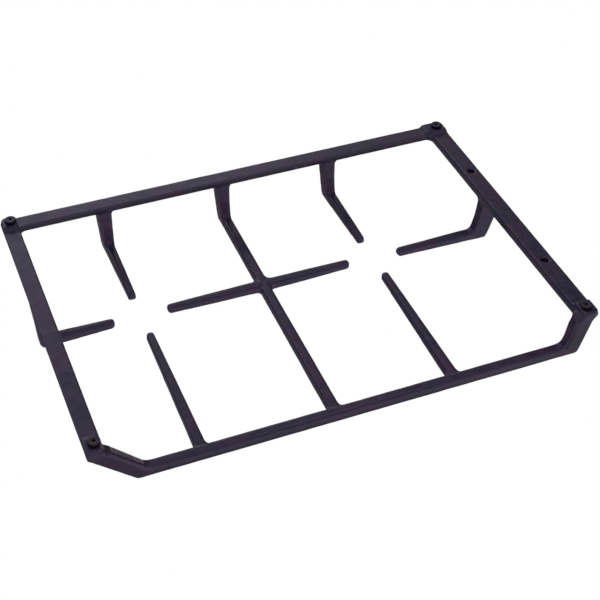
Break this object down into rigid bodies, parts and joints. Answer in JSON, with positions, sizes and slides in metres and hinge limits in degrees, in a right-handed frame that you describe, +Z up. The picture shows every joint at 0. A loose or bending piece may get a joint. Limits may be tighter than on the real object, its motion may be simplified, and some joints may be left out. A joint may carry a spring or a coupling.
{
  "type": "gas hob pan support",
  "caption": "Enamelled cast-iron pan support for a gas hob: low flat frame, raised rear bar and fingers reaching towards the burners, standing on rubber feet.",
  "frame": {"origin": "centre of the footprint, on the surface the feet stand on", "axes": "+X along the long side, towards the bar with the locating holes; +Y towards the raised bar; +Z up, out of the surface the pans rest on"},
  "size_m": [0.4754, 0.3244, 0.061],
  "materials": {
    "enamelled_iron": "satin vitreous enamel over a fine cast grain",
    "rubber": "matt"
  },
  "bodies": {
    "root": {"pan_support_casting": "enamelled_iron", "rubber_foot_front_left": "rubber", "rubber_foot_front_right": "rubber", "rubber_foot_rear_right": "rubber", "rubber_foot_rear_left": "rubber"}
  },
  "joints": []
}
